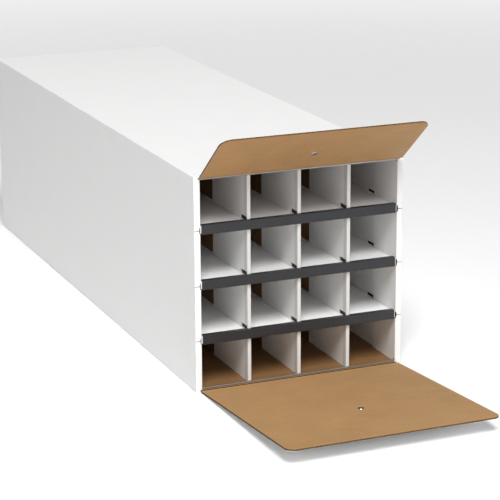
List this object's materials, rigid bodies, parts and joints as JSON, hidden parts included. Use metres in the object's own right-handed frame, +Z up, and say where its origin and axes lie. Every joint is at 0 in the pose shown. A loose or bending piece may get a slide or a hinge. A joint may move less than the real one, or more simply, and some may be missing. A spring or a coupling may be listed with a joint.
{
  "type": "corrugated roll file",
  "caption": "Long corrugated fibreboard box standing on its base, divided at its open front into square compartments by shelves and folded dividers, with two creased flaps.",
  "frame": {"origin": "centre of the box's base, on its underside", "axes": "+X across the front to the right as seen by a person facing the opening, +Y from the opening towards the closed rear end, +Z up"},
  "size_m": [0.305, 1.2341, 0.3628],
  "materials": {
    "box_board": "white-faced corrugated fibreboard outside, plain kraft inside",
    "lining_board": "white-faced corrugated fibreboard",
    "shelf_board": "corrugated fibreboard, white on both faces",
    "divider_board": "white-faced corrugated fibreboard, kraft inside the fold",
    "flap_board": "kraft inner face, white outer face",
    "trim_plastic": "satin dark grey extruded channel",
    "wire_steel": "drawn bright wire",
    "rivet_metal": "plated tubular rivet",
    "button_fibre": "pressed red fibre disc"
  },
  "bodies": {
    "carcass": {"shell": "box_board", "side_lining_left": "lining_board", "side_lining_right": "lining_board", "shelf_1": "shelf_board", "shelf_2": "shelf_board", "shelf_3": "shelf_board", "shelf_trim_1": "trim_plastic", "shelf_trim_2": "trim_plastic", "shelf_trim_3": "trim_plastic", "divider_1_1": "divider_board", "divider_1_2": "divider_board", "divider_1_3": "divider_board", "divider_2_1": "divider_board", "divider_2_2": "divider_board", "divider_2_3": "divider_board", "divider_3_1": "divider_board", "divider_3_2": "divider_board", "divider_3_3": "divider_board", "divider_4_1": "divider_board", "divider_4_2": "divider_board", "divider_4_3": "divider_board", "wire_frame": "wire_steel"},
    "upper_flap_body": {"upper_flap": "flap_board", "upper_rivet": "rivet_metal", "upper_button": "button_fibre"},
    "lower_flap_body": {"lower_flap": "flap_board", "lower_rivet": "rivet_metal", "lower_button": "button_fibre"}
  },
  "joints": [
    {"name": "upper_flap_hinge", "type": "hinge", "parent": "carcass", "child": "upper_flap_body", "pos_m": [0, -0.4757, 0.2956], "axis": [1, 0, 0], "range_deg": [-80, 129]},
    {"name": "lower_flap_hinge", "type": "hinge", "parent": "carcass", "child": "lower_flap_body", "pos_m": [0, -0.4728, 0.0004], "axis": [-1, 0, 0], "range_deg": [-2.8, 86]}
  ]
}
